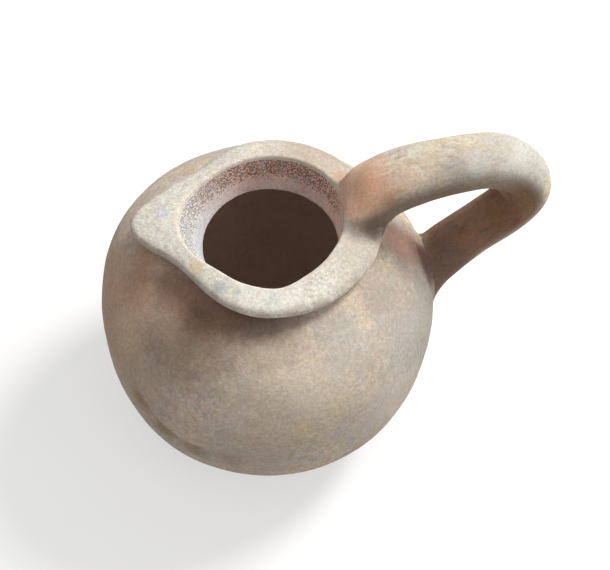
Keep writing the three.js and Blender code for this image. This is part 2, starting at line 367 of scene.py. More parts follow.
def makeBowl():
    under = straight((0, bowlBottom), (foot["radius"], bowlBottom), body["floorSpacing"])[:-1]
    outside = stretchOf(bowlOut, body["spacing"], 0, foot["radius"], acrossAt(seamLow, *bowlOut))
    inside = stretchOf(bowlIn, body["insideSpacing"], 1, seamHigh, bowlIn[1] * (1 - tiny))
    grid = closedOnAxis(np.vstack([turned(under), wornBelly(outside), turned(inside)]))
    bands = ["body"] * (len(under) + len(outside)) + ["hollow"] * len(inside)
    makePiece("lowerBowl", "base_bowl", grid, bands, caps=True)


def makeDome():
    outside = np.vstack([
        stretchOf(bowlOut, body["spacing"], 1, seamLow, -tiny),
        stretchOf(shoulderOut, body["spacing"], 0, outRadius * (1 - tiny), collarRadius)[1:],
    ])
    inside = np.vstack([
        straight(holeTop, holeFoot, body["spacing"])[1:],
        stretchOf(shoulderIn, body["insideSpacing"], 0, neckRadius, inRadius * (1 - tiny))[1:],
        stretchOf(bowlIn, body["insideSpacing"], 1, -tiny, seamHigh)[1:],
    ])
    skin = wornBelly(outside)
    normals = np.cross(np.roll(skin, -1, axis=1) - np.roll(skin, 1, axis=1), np.gradient(skin, axis=0))
    normals /= np.linalg.norm(normals, axis=2)[..., None]
    skin = raised(skin, normals, handleDistance, landingReach)
    bands = ["body"] * len(outside) + ["hollow"] * len(inside)
    makePiece("belly", "body_dome", np.vstack([skin, turned(inside)]), bands)


neck = dict(
    throatRadius=0.0268,
    throatBevel=0.0008,
    throatDrop=0.0034,
    throatShift=0.0019,  # the throat's centre lies away from the beak
    boreFlare=1.2,
    wall=0.0064,
    rise=0.0014,
    spread=0.004,
    pressFade=1.5,  # how fast the mouth's dents fade downwards
    hollowPull=0.0012,  # the hollow curve outside, between shoulder and lip
    hollowRows=7,
    seatRows=5,
    spacing=0.0009,
)

neckRadius = neck["throatRadius"] + neck["wall"]
collarRadius = neckRadius + neck["spread"]
holeTop = (collarRadius, levelAt(collarRadius, *shoulderOut))
holeFoot = (neckRadius, levelAt(neckRadius, *shoulderIn))
seatLevel = levelAt(neckRadius, body["radius"], *shoulderOut[1:]) + neck["rise"] + slipGap / 2
throatLevel = levelAt(neck["throatRadius"] + neck["throatBevel"], *shoulderIn) - neck["throatDrop"]
boreFoot = throatLevel + neck["throatBevel"]

# Where the soft clay was pressed in or out by hand: angle, how far out, how wide, how square
dents = dict(
    mouth=[
        (29, 0.0022, 58, 2),
        (121, -0.0017, 33, 2),
        (168, 0.0012, 19, 2),
        (219, -0.0024, 21, 2),
        (268, 0.0014, 13, 2),
        (317, -0.0011, 41, 2),
    ],
    throat=[(75, 0.0006, 25, 2), (139, -0.0007, 30, 2)],
    lip=[(276, -0.0017, 48, 4), (188, -0.0009, 15, 2), (144, 0.0025, 16, 2)],
)


def dented(angle, where):
    return sum(far * hump(angle, centre, spread, square) for centre, far, spread, square in dents[where])


# The inside of the neck widens upwards and leans towards the beak.
def bore(angle, level):
    part = np.clip((level - boreFoot) / (mouthLevel - boreFoot), 0, 1)
    plain = neck["throatRadius"] + (lip["mouthRadius"] - neck["throatRadius"]) * part ** neck["boreFlare"]
    shift = -neck["throatShift"] + (lip["mouthShift"] + neck["throatShift"]) * part
    pressed = part ** neck["pressFade"] * dented(angle, "mouth") + (1 - part) * dented(angle, "throat")
    return plain + pressed + shift * np.cos(np.radians(angle - lip["beakAngle"]))


def makeCollar():
    space, pull, hollowRows = neck["spacing"], neck["hollowPull"], neck["hollowRows"]
    outer = np.vstack([
        straight((neckRadius - neck["throatBevel"], throatLevel), holeFoot, space)[:-1],
        straight(holeFoot, holeTop, space)[:-1],
        bezier([holeTop, (neckRadius + pull, holeTop[1] + pull), (neckRadius, seatLevel)], hollowRows),
    ])
    share = np.linspace(0, 1, neck["seatRows"])[1:-1, None]
    seat = ringed(neckRadius + (bore(angles, seatLevel) - neckRadius) * share, seatLevel)
    levels = np.linspace(seatLevel, boreFoot, max(3, round(abs(boreFoot - seatLevel) / space) + 1))[:, None]
    wall = ringed(bore(angles, levels), levels)
    end = ringed(bore(angles, boreFoot) + neck["throatBevel"], throatLevel)
    grid = np.vstack([turned(outer), seat, wall, end[None]])
    outside = len(outer) + len(seat)
    bands = ["hollow"] + ["body"] * (outside - 1) + ["throat"] * len(wall) + ["hollow"]
    makePiece("neck", "neck_collar", grid, bands)


lip = dict(
    mouthRadius=0.0307,
    mouthShift=0.0016,
    radius=0.0434,
    shift=0.0009,
    height=0.0058,
    fall=0.0024,
    crown=1.25,
    edge=0.0046,
    crestRound=0.0011,
    beakReach=0.0103,
    beakSpread=16.2,
    beakAngle=168,
    waistDepth=0.0052,
    waistAngle=43,
    waistSpread=26.7,
    fullWidth=0.0095,  # where the lip is narrower than this, its top falls less
    filletSide=0.0062,  # the hollow curve beside the handle's root
    filletFace=0.0014,  # and in line with the handle
    filletTurn=(0.2, 0.9),
    filletFrom=(0.1, 0.8),  # only where the lip faces up
    rows=(12, 14, 24, 6, 9, 5),  # underside, outer edge, top, crest, wall of the mouth, seat
)

crestLevel = seatLevel + slipGap / 2 + lip["height"]
mouthLevel = crestLevel - lip["crestRound"]


def lipOutside(angle):
    beakAngle, waist, spread = lip["beakAngle"], lip["waistAngle"], lip["waistSpread"]
    pinch = hump(angle, beakAngle - waist, spread) + hump(angle, beakAngle + waist, spread)
    offside = np.cos(np.radians(angle - beakAngle))
    beak = lip["beakReach"] * hump(angle, beakAngle, lip["beakSpread"])
    return lip["radius"] - lip["shift"] * offside + beak - lip["waistDepth"] * pinch + dented(angle, "lip")


# The lip at an angle: where its top starts and ends, how far it falls, the rounded edge's middle,
# and how steeply the top runs into that edge.
def lipProfile(angle):
    edgeRound = lip["edge"] / 2
    start = bore(angle, mouthLevel) + lip["crestRound"]
    middle = lipOutside(angle) - edgeRound
    width = middle - start
    fall = lip["fall"] * np.sqrt(np.clip(width / lip["fullWidth"], 0, 1))
    slope = np.arctan(lip["crown"] * fall / width)
    end = middle + edgeRound * np.sin(slope)
    return start, end, fall, middle, crestLevel - fall - edgeRound * np.cos(slope), slope


# About how far a point lies above the lip, whose top is taken on across the mouth.
def lipDistance(points):
    angle = np.degrees(np.arctan2(points[..., 1], points[..., 0]))
    across = np.hypot(points[..., 0], points[..., 1])
    level = points[..., 2] - widest
    start, end, fall, middle, edgeLevel, slope = lipProfile(angle)
    part = np.clip((across - start) / (end - start), 0, 1)
    above = level - (crestLevel - fall * part ** lip["crown"])
    beyond = np.hypot(across - middle, level - edgeLevel) - lip["edge"] / 2
    return np.where(across < end, above, beyond)


# How wide the hollow between handle and lip is, by the side of the handle that the point is on.
def rootReach(points):
    out = points[..., 0] - (lip["radius"] - handle["rootInset"])
    share = points[..., 1] ** 2 / np.maximum(out**2 + points[..., 1] ** 2, tiny)
    return lip["filletFace"] + (lip["filletSide"] - lip["filletFace"]) * smooth(share, *lip["filletTurn"])


def makeLip():
    inner, seat = bore(angles, mouthLevel), bore(angles, seatLevel)
    edgeRound, crestRound = lip["edge"] / 2, lip["crestRound"]
    start, end, fall, middle, edgeLevel, slope = lipProfile(angles)
    edgeFoot = edgeLevel - edgeRound
    outRows, edgeRows, topRows, crestRows, wallRows, seatRows = lip["rows"]
    out = np.linspace(0, 1, outRows)[:-1, None]
    edge = -np.pi / 2 + (np.pi - slope) * np.linspace(0, 1, edgeRows)[:-1, None]
    top = np.linspace(1, 0, topRows)[:-1, None]
    crest = np.linspace(0, np.pi / 2, crestRows)[:, None]
    down = np.linspace(mouthLevel, seatLevel, wallRows)[1:, None]
    back = np.linspace(0, 1, seatRows)[1:-1, None]
    parts = [
        # the underside, hollow towards the neck
        ("lip", neckRadius + (middle - neckRadius) * out, seatLevel + (edgeFoot - seatLevel) * out),
        # the rounded outer edge, which ends at the slope of the top
        ("lip", middle + edgeRound * np.cos(edge), edgeLevel + edgeRound * np.sin(edge)),
        ("lip", start + (end - start) * top, crestLevel - fall * top ** lip["crown"]),
        ("lip", inner + crestRound * (1 - np.sin(crest)), crestLevel - crestRound * (1 - np.cos(crest))),
        ("throat", bore(angles, down), down),
        ("lip", seat + (neckRadius - seat) * back, seatLevel),
    ]
    bands = [band for band, across, level in parts for _ in across]
    across = np.vstack([across for band, across, level in parts])
    level = np.vstack([np.broadcast_to(level, across.shape) for band, across, level in parts])
    tangent = np.roll(across, -1, axis=0) - np.roll(across, 1, axis=0)
    climb = np.roll(level, -1, axis=0) - np.roll(level, 1, axis=0)
    size = np.maximum(np.hypot(tangent, climb), tiny)
    outward = spun(climb / size, -tangent / size)
    facingUp = smooth(outward[..., 2], *lip["filletFrom"])
    grid = ringed(across, level)
    grid = grid + (raised(grid, outward, handleDistance, rootReach) - grid) * facingUp[..., None]
    piece = makePiece("lip", "spouted_rim", grid, bands)
    fromAxis = np.hypot(grid[..., 0], grid[..., 1])
    mark(piece, "fromMouth", (fromAxis - inner).ravel())
    mark(piece, "fromEdge", (lipOutside(angles) - fromAxis).ravel())


handle = dict(
    radius=0.0110,
    taper=0.0012,
    rootInset=0.0072,
    rootDepth=0.0038,
    rootAngle=76,
    rootThickness=0.0156,
    rootSquareness=4,
    crownAcross=0.078,
    crownRise=0.0136,
    reach=0.0345,
    bendDrop=0.0073,
    landingLevel=0.013,
    landingAngle=55,
    rootPull=0.0185,
    crownPullIn=0.0215,
    crownPullOut=0.0205,
    bendPullIn=0.003,
    bendPullOut=0.014,
    landingPull=0.0215,
    rimWad=0.017,
    bodyWad=0.014,
    buried=0.009,
    sides=96,
    spacing=0.0009,
    pathSpacing=0.0004,
    smoothings=12,
    swells=[  # where, over what length, towards which side, how wide, how far
        (0.016, 0.021, 146, 55, 0.0019),
        (0.139, 0.018, 192, 55, 0.0022),
        (0.139, 0.012, 118, 45, 0.0026),
    ],
    filletNear=0.0075,  # the hollow curve on the shoulder, on the side towards the camera
    filletFar=0.0020,
    filletFace=0.0050,  # and in line with the handle
    proud=0.00006,  # how the inner face is pressed flush with the mouth
    sunk=0.0005,
    sunkBelow=(0.0022, 0.0008),
    pressSoft=0.0006,
)


def heading(degrees):
    return np.array([math.cos(math.radians(degrees)), 0, math.sin(math.radians(degrees))])


# The handle's centre line off the lip, over the crown, round the far bend and into the body.
def handleLine():
    landingAcross = acrossAt(handle["landingLevel"], body["radius"], *shoulderOut[1:])
    root = np.array([lip["radius"] - handle["rootInset"], 0, crestLevel - handle["rootDepth"]])
    crown = np.array([handle["crownAcross"], 0, crestLevel + handle["crownRise"]])
    bend = np.array([body["radius"] + handle["reach"], 0, crestLevel - handle["bendDrop"]])
    landing = np.array([landingAcross, 0, handle["landingLevel"]])
    rootWay, crownWay, bendWay = heading(handle["rootAngle"]), heading(0), heading(-90)
    inwards = heading(180 + handle["landingAngle"])
    arcs = [
        (root, handle["rootPull"] * rootWay, handle["crownPullIn"] * crownWay, crown),
        (crown, handle["crownPullOut"] * crownWay, handle["bendPullIn"] * bendWay, bend),
        (bend, handle["bendPullOut"] * bendWay, handle["landingPull"] * inwards, landing),
    ]
    line = np.vstack([bezier([a, a + pullOut, b - pullIn, b], 80)[:-1] for a, pullOut, pullIn, b in arcs])
    line = np.vstack([line, landing])
    length = runAlong(line)[-1]
    line = np.vstack([line, landing + handle["buried"] * inwards])
    line[:, 2] += widest
    fine = spaced(line, handle["pathSpacing"])
    run = runAlong(fine)
    ahead = np.gradient(fine, run, axis=0)
    for _ in range(handle["smoothings"]):
        ahead[1:-1] = (ahead[:-2] + ahead[1:-1] + ahead[2:]) / 3
    ahead /= np.linalg.norm(ahead, axis=1)[:, None]
    return fine, run, ahead, length


pathPoints, pathRun, pathAhead, landingLength = handleLine()
pathUnder = np.cross([0, 1, 0], pathAhead)


# Half width, half thickness and squareness of the handle at lengths from its root.
def handleSection(length):
    rounding = smooth(length, 0, handle["rimWad"])
    halfWidth = handle["radius"] - handle["taper"] * np.clip(length / landingLength, 0, 1)
    halfThickness = handle["rootThickness"] / 2 + (halfWidth - handle["rootThickness"] / 2) * rounding
    squareness = handle["rootSquareness"] + (2 - handle["rootSquareness"]) * rounding
    return halfWidth, halfThickness, squareness


# How much thicker the clay is on one side, by the length and by the angle from aside to under.
def swollen(length, turn):
    lumps = 0
    for centre, reach, towards, spread, height in handle["swells"]:
        lumps = lumps + height * np.exp(-(((length - centre) / reach) ** 2)) * hump(turn, towards, spread)
    return lumps


# About how far a point lies outside the handle.
def handleDistance(points):
    coarseness = 4
    flat = points.reshape(-1, 3)
    coarse = pathPoints[::coarseness]
    away = ((flat[:, None, ::2] - coarse[None, :, ::2]) ** 2).sum(axis=2)
    nearest = away.argmin(axis=1) * coarseness
    offset = flat - pathPoints[nearest]
    length = pathRun[nearest] + np.einsum("ij,ij->i", offset, pathAhead[nearest])
    under = np.einsum("ij,ij->i", offset, pathUnder[nearest])
    halfWidth, halfThickness, squareness = handleSection(length)
    reach = np.maximum(np.hypot(flat[:, 1], under), tiny)
    wide = (np.abs(flat[:, 1]) / reach / halfWidth) ** squareness
    thick = (np.abs(under) / reach / halfThickness) ** squareness
    lump = swollen(length, np.degrees(np.arctan2(under, flat[:, 1])))
    return (reach - (wide + thick) ** (-1 / squareness) - lump).reshape(points.shape[:-1])


def landingReach(points):
    share = smooth(np.abs(points[..., 1]), 0, handle["radius"])
    side = np.where(points[..., 1] < 0, handle["filletNear"], handle["filletFar"])
    return handle["filletFace"] + (side - handle["filletFace"]) * share


# Rings of the bare handle with the way out from its centre line, and each point's place in the coil of
# clay as it was rolled out straight: aside, under and along.
def tubeRows(start, end):
    lengths = np.linspace(start, end, max(3, round((end - start) / handle["spacing"]) + 1))
    centre = interpolated(lengths, pathRun, pathPoints)
    under = interpolated(lengths, pathRun, pathUnder)
    under /= np.linalg.norm(under, axis=1)[:, None]
    halfWidth, halfThickness, squareness = (np.array(v)[:, None] for v in handleSection(lengths))
    turn = np.arange(handle["sides"]) * 2 * np.pi / handle["sides"]

    def bulge(wave):
        return np.sign(wave) * np.abs(wave) ** (2 / squareness)

    aside = halfWidth * bulge(np.cos(turn)[None, :])
    below = halfThickness * bulge(np.sin(turn)[None, :])
    outward = aside[..., None] * np.array([0, 1, 0]) + below[..., None] * under[:, None, :]
    grid = centre[:, None, :] + outward
    outward /= np.linalg.norm(outward, axis=2)[..., None]
    grid = grid + outward * swollen(lengths[:, None], np.degrees(turn)[None, :])[..., None]
    rolled = np.stack([aside, below, lengths[:, None] + 0 * aside], axis=-1)
    return grid, outward, rolled


# The handle's inner face is pressed flush with the mouth, and runs down into its wall.
def trimmedAtMouth(grid):
    angle = np.degrees(np.arctan2(grid[..., 1], grid[..., 0]))
    across = np.hypot(grid[..., 0], grid[..., 1])
    level = grid[..., 2] - widest
    low, high = (mouthLevel - drop for drop in handle["sunkBelow"])
    least = bore(angle, level) - handle["proud"] + handle["sunk"] * (1 - smooth(level, low, high))
    gap = across - least
    pressed = least + (gap + np.sqrt(gap**2 + handle["pressSoft"] ** 2)) / 2
    return grid * np.stack([pressed / across, pressed / across, np.ones_like(across)], axis=-1)


def makeHandle():
    coilStart = handle["rimWad"] + slipGap / 2
    coilEnd = landingLength - handle["bodyWad"]
    for name, node, start, end in (
        ("handleCoil", "handle_coil", coilStart, coilEnd),
        ("lowerWad", "handle_body_wad", coilEnd, pathRun[-1]),
        ("upperWad", "handle_rim_wad", 0, coilStart),
    ):
        grid, outward, rolled = tubeRows(start, end)
        if name == "lowerWad":
            grid = raised(grid, outward, bodyDistance, landingReach)
        if name == "upperWad":
            grid = trimmedAtMouth(raised(grid, outward, lipDistance, rootReach))
        piece = makePiece(name, node, grid, ["handle"] * len(grid), caps=True)
        ends = [rolled[0].mean(axis=0), rolled[-1].mean(axis=0)]
        mark(piece, "rolled", np.vstack([rolled.reshape(-1, 3), *ends]))


# The camera stands as the photograph's did. Its frame is 610 by 570 pixels.
view = dict(azimuth=-12, elevation=56.4, distance=0.450, focalPixels=1054.7, axisPixel=(266.5, 305.7))
frameSize = (610, 570)


# Puts a camera or lamp round the body, turned to it. Its azimuth runs from image right to the back,
# so the camera's is -90.
def standRound(name, data, azimuth, elevation, distance):
    turn, rise = math.radians(view["azimuth"] + azimuth), math.radians(elevation)
    away = Vector((math.cos(turn) * math.cos(rise), math.sin(turn) * math.cos(rise), math.sin(rise)))
    made = bpy.data.objects.new(name, data)
    made.location = Vector((0, 0, widest)) + distance * away
    made.rotation_mode = "QUATERNION"
    made.rotation_quaternion = (-away).to_track_quat("-Z", "Y")
    bpy.context.scene.collection.objects.link(made)
    return made


def makeCamera():
    data = bpy.data.cameras.new("camera")
    data.sensor_width = 36
    data.lens = view["focalPixels"] * data.sensor_width / frameSize[0]
    data.shift_x = (frameSize[0] / 2 - view["axisPixel"][0]) / frameSize[0]
    data.shift_y = (view["axisPixel"][1] - frameSize[1] / 2) / frameSize[0]
    camera = standRound("camera", data, -90, view["elevation"], view["distance"])
    bpy.context.scene.camera = camera
    bpy.context.scene.view_settings.view_transform = "Standard"


# A colour as a paint program shows it, as the linear values that Blender wants.
def srgb(colour):
    return (*(((c / 255 + 0.055) / 1.055) ** 2.4 for c in colour), 1)


# Gives a socket a value, or joins it to another socket.
def feed(tree, socket, value):
    if isinstance(value, bpy.types.NodeSocket):
        tree.links.new(value, socket)
    else:
        socket.default_value = value


# A node. Inputs are given by name, or as i and their number.
def addNode(tree, kind, settings=None, **inputs):
    made = tree.nodes.new(kind)
    for key, value in (settings or {}).items():
        setattr(made, key, value)
    for key, value in inputs.items():
        feed(tree, made.inputs[int(key[1:])] if key[1:].isdigit() else made.inputs[key], value)
    return made


# A shader node group. inputs gives each name its first value, outputs gives each name Float or Color.
def newGroup(name, inputs, outputs):
    tree = bpy.data.node_groups.new(name, "ShaderNodeTree")
    for key, value in inputs.items():
        kind = "NodeSocketFloat" if isinstance(value, (int, float)) else "NodeSocketVector"
        tree.interface.new_socket(key, in_out="INPUT", socket_type=kind).default_value = value
    for key, kind in outputs.items():
        tree.interface.new_socket(key, in_out="OUTPUT", socket_type="NodeSocket" + kind)
    source = tree.nodes.new("NodeGroupInput")
    result = tree.nodes.new("NodeGroupOutput")
    return tree, source.outputs, result.inputs


def vectorMath(tree, operation, one, two):
    return addNode(tree, "ShaderNodeVectorMath", {"operation": operation}, i0=one, i1=two).outputs[0]


def mathNode(tree, operation, one, two=0.0):
    return addNode(tree, "ShaderNodeMath", {"operation": operation}, i0=one, i1=two).outputs[0]


def times(tree, one, two):
    return mathNode(tree, "MULTIPLY", one, two)


def plus(tree, one, two):
    return mathNode(tree, "ADD", one, two)


def evenly(tree, value):
    return addNode(tree, "ShaderNodeCombineXYZ", X=value, Y=value, Z=value).outputs[0]


def attributeNode(tree, name):
    return addNode(tree, "ShaderNodeAttribute", {"attribute_name": name}).outputs


def placeIn(tree, offset=None):
    spot = addNode(tree, "ShaderNodeTexCoord").outputs["Object"]
    return spot if offset is None else vectorMath(tree, "ADD", spot, offset)


def ramp(tree, value, low, high, start=0.0, end=1.0):
    settings = {"interpolation_type": "SMOOTHSTEP"}
    made = addNode(tree, "ShaderNodeMapRange", settings, i0=value, i1=low, i2=high, i3=start, i4=end)
    return made.outputs[0]


# A mask that rises where the noise passes a level.
def rising(tree, given, wave):
    low = mathNode(tree, "SUBTRACT", given["Level"], given["Edge"])
    return ramp(tree, wave, low, plus(tree, given["Level"], given["Edge"]))


def noiseNode(tree, spot, size, detail, roughness, distortion=0.0):
    made = addNode(tree, "ShaderNodeTexNoise", Vector=spot, Detail=detail, Roughness=roughness)
    feed(tree, made.inputs["Scale"], mathNode(tree, "DIVIDE", 1.0, size))
    feed(tree, made.inputs["Distortion"], distortion)
    return made.outputs


# A noise colour round zero, made this strong.
def wandering(tree, colour, strength):
    centred = vectorMath(tree, "SUBTRACT", colour, (0.5, 0.5, 0.5))
    return vectorMath(tree, "MULTIPLY", centred, evenly(tree, strength))


# Blotches, flecks or pits, by their size.
def patchGroup():
    start = {"Size": 0.02, "Level": 0.5, "Edge": 0.05, "Offset": (0, 0, 0)}
    tree, given, out = newGroup("patches", start, {"Mask": "Float"})
    spot = placeIn(tree, given["Offset"])
    wave = noiseNode(tree, spot, given["Size"], detail=4.0, roughness=0.62)["Fac"]
    tree.links.new(rising(tree, given, wave), out["Mask"])
    return tree


# The sandy grain of dusty fired clay: a tone round 1 to multiply the colour by, with a tint that
# wanders from grain to grain, and its relief.
def grainGroup():
    start = {"Size": 0.0008, "Contrast": 0.3, "Tint": 0.1, "Offset": (0, 0, 0)}
    coarser, tintSize = 2.7, 4.5  # in grains
    tree, given, out = newGroup("grain", start, {"Tone": "Color", "Height": "Float"})
    spot = placeIn(tree, given["Offset"])
    fine = noiseNode(tree, spot, given["Size"], detail=2.0, roughness=0.7)["Fac"]
    coarse = noiseNode(tree, spot, times(tree, given["Size"], coarser), detail=2.0, roughness=0.7)["Fac"]
    both = plus(tree, fine, coarse)
    light = times(tree, mathNode(tree, "SUBTRACT", both, 1.0), given["Contrast"])
    hue = noiseNode(tree, spot, times(tree, given["Size"], tintSize), detail=3.0, roughness=0.6)["Color"]
    tint = wandering(tree, hue, given["Tint"])
    tree.links.new(vectorMath(tree, "ADD", tint, evenly(tree, plus(tree, light, 1.0))), out["Tone"])
    tree.links.new(both, out["Height"])
    return tree


# Thin curling lines, as a bloom of lime leaves them.
def scribbleGroup():
    start = {"Size": 0.002, "Width": 0.05, "Offset": (0, 0, 0)}
    tree, given, out = newGroup("scribbles", start, {"Mask": "Float"})
    spot = placeIn(tree, given["Offset"])
    wave = noiseNode(tree, spot, given["Size"], detail=2.0, roughness=0.6, distortion=0.5)["Fac"]
    away = mathNode(tree, "ABSOLUTE", mathNode(tree, "SUBTRACT", wave, 0.5))
    tree.links.new(ramp(tree, away, 0.0, given["Width"], 1.0, 0.0), out["Mask"])
    return tree


# Wiped streaks and scratches along the rolled handle.
def streakGroup():
    start = {"Size": 0.003, "Level": 0.5, "Edge": 0.05, "Offset": (0, 0, 0), "Stretch": 0.3}
    tree, given, out = newGroup("streaks", start, {"Mask": "Float"})
    squeeze = addNode(tree, "ShaderNodeCombineXYZ", X=1.0, Y=1.0, Z=given["Stretch"]).outputs[0]
    rolled = vectorMath(tree, "ADD", attributeNode(tree, "rolled")["Vector"], given["Offset"])
    long = vectorMath(tree, "MULTIPLY", rolled, squeeze)
    wave = noiseNode(tree, long, given["Size"], detail=3.0, roughness=0.6, distortion=0.4)["Fac"]
    tree.links.new(rising(tree, given, wave), out["Mask"])
    return tree


# A ragged patch round one place.
def spotGroup():
    start = {"Centre": (0, 0, 0), "Reach": 0.02, "Ragged": 0.006}
    raggedSize = 0.007
    core = 0.2  # share of the reach that is at full strength
    tree, given, out = newGroup("spot", start, {"Mask": "Float"})
    place = placeIn(tree)
    warp = noiseNode(tree, place, raggedSize, detail=4.0, roughness=0.65)["Color"]
    push = wandering(tree, warp, given["Ragged"])
    moved = vectorMath(tree, "ADD", place, vectorMath(tree, "ADD", push, push))
    distance = {"operation": "DISTANCE"}
    away = addNode(tree, "ShaderNodeVectorMath", distance, i0=moved, i1=given["Centre"]).outputs["Value"]
    share = mathNode(tree, "DIVIDE", away, given["Reach"])
    tree.links.new(ramp(tree, share, core, 1.0, 1.0, 0.0), out["Mask"])
    return tree


groups = dict(
    patches=patchGroup(),
    grain=grainGroup(),
    scribbles=scribbleGroup(),
    streaks=streakGroup(),
    spot=spotGroup(),
)


# One of the shared groups, placed in a material with its own values.
def placed(tree, group, **inputs):
    return addNode(tree, "ShaderNodeGroup", {"node_tree": groups[group]}, **inputs).outputs


# One colour over another. Each is a socket, linear values, or three numbers as a paint program shows them.
def mixed(tree, mask, under, over, strength=1.0):
    made = addNode(tree, "ShaderNodeMix", {"data_type": "RGBA", "clamp_factor": True})
    feed(tree, made.inputs[0], times(tree, mask, strength))
    for number, colour in ((6, under), (7, over)):
        painted = isinstance(colour, tuple) and len(colour) == 3
        feed(tree, made.inputs[number], srgb(colour) if painted else colour)
    return made.outputs[2]


# Two tones of clay in broad patches.
def ground(tree, look):
    broad = placed(tree, "patches", **look["broad"])["Mask"]
    return mixed(tree, broad, look["dark"], look["light"])


# Lays a group over a colour once for each row of size, level or width, colour and strength.
def layered(tree, colour, group, rows, offset=(0, 0, 0), step=(0, 0, 0)):
    for number, (size, level, shade, strength) in enumerate(rows):
        place = [start + number * far for start, far in zip(offset, step)]
        mask = placed(tree, group, i0=size, i1=level, Offset=place)["Mask"]
        colour = mixed(tree, mask, colour, shade, strength)
    return colour


def stained(tree, colour, spots):
    ragged = 0.35  # share of the reach
    for centre, reach, shade, strength in spots:
        mask = placed(tree, "spot", Centre=centre, Reach=reach, Ragged=ragged * reach)["Mask"]
        colour = mixed(tree, mask, colour, shade, strength)
    return colour


# Lays mottles, flecks and the scribbled bloom, then single ragged spots, over a colour.
def dappled(tree, colour, look):
    step = (0.37, 0.61, 0.83)  # so that no two layers show the same part of the noise
    fleckStart, fleckStep = (0.1, 0.29, 0.41), (0.17, 0, 0)
    colour = layered(tree, colour, "patches", look["mottles"], [look["seed"] * far for far in step], step)
    colour = layered(tree, colour, "patches", look["flecks"], fleckStart, fleckStep)
    colour = layered(tree, colour, "scribbles", look["scribbles"])
    return stained(tree, colour, look["spots"])


# The last layer of every clay: the fine grain, with its relief.
def grained(tree, shader, colour, look, relief=0.0):
    grain = placed(tree, "grain", **look["grain"])
    tree.links.new(vectorMath(tree, "MULTIPLY", colour, grain["Tone"]), shader.inputs["Base Color"])
    unit = 0.001
    height = plus(tree, times(tree, grain["Height"], look["depth"]), relief)
    bump = addNode(tree, "ShaderNodeBump", Height=times(tree, height, 1 / unit), Strength=1.0, Distance=unit)
    tree.links.new(bump.outputs["Normal"], shader.inputs["Normal"])


clay = {"Roughness": 0.92, "Diffuse Roughness": 0.3, "Specular IOR Level": 0.25}


def clayMaterial(name):
    material = bpy.data.materials.new(name)
    material.use_nodes = True
    shader = material.node_tree.nodes["Principled BSDF"]
    for socket, value in clay.items():
        shader.inputs[socket].default_value = value
    return material, material.node_tree, shader


# Places for spots, in millimetres. On the body: angle and level.
def onBody(angle, level):
    level = level / 1000
    across = acrossAt(level, *(shoulderOut if level > 0 else bowlOut))
    turn = math.radians(angle)
    return (across * math.cos(turn), across * math.sin(turn), level + widest)


# On the lip: angle and distance from the axis.
def onLip(angle, across):
    under = 0.001
    turn = math.radians(angle)
    return (across / 1000 * math.cos(turn), across / 1000 * math.sin(turn), crestLevel - under + widest)


# On the handle: along it from its root, under its centre line, and aside of it.
def onHandle(along, under, aside):
    point = interpolated([along / 1000], pathRun, pathPoints + pathUnder * under / 1000)[0]
    return (point[0], aside / 1000, point[2])


def anywhere(x, y, z):
    return (x / 1000, y / 1000, z / 1000)


# Spots from rows of a place, how far they reach, their colour and strength.
def spotsAt(where, rows):
    return [(where(*place), reach / 1000, shade, strength) for *place, reach, shade, strength in rows]


# Where the handle was pressed on, these spots run over handle and lip or body alike. At the landing they are
# painted shade in the corner between arm and body, with one reddish spot. At the root they are painted shade
# along the foot of its near side, with pinkish clay on its inner and far sides.
landingTintAndShade = spotsAt(onHandle, [(133, 2, -4, 20, (128, 104, 90), 0.95)]) + spotsAt(onBody, [
    (352, 35, 8, (186, 144, 130), 0.70),
    (353, 31, 6.5, (126, 98, 85), 0.90),
    (349, 28, 6.8, (124, 99, 87), 0.90),
    (346, 24, 6.2, (126, 106, 95), 0.85),
])
rootTintAndShade = spotsAt(onHandle, [
    (3.5, -4, -10.5, 5, (160, 136, 118), 0.65),
    (3.5, 0, -11.5, 5.5, (148, 130, 112), 0.75),
    (4.5, 5, -11, 6, (146, 130, 112), 0.75),
]) + spotsAt(anywhere, [
    (33, 13.5, 122.5, 6.5, (206, 164, 142), 0.80),
    (29.5, 2, 125, 10, (226, 184, 164), 0.85),
    (39.5, -13.5, 123.5, 8, (122, 106, 92), 0.90),
])

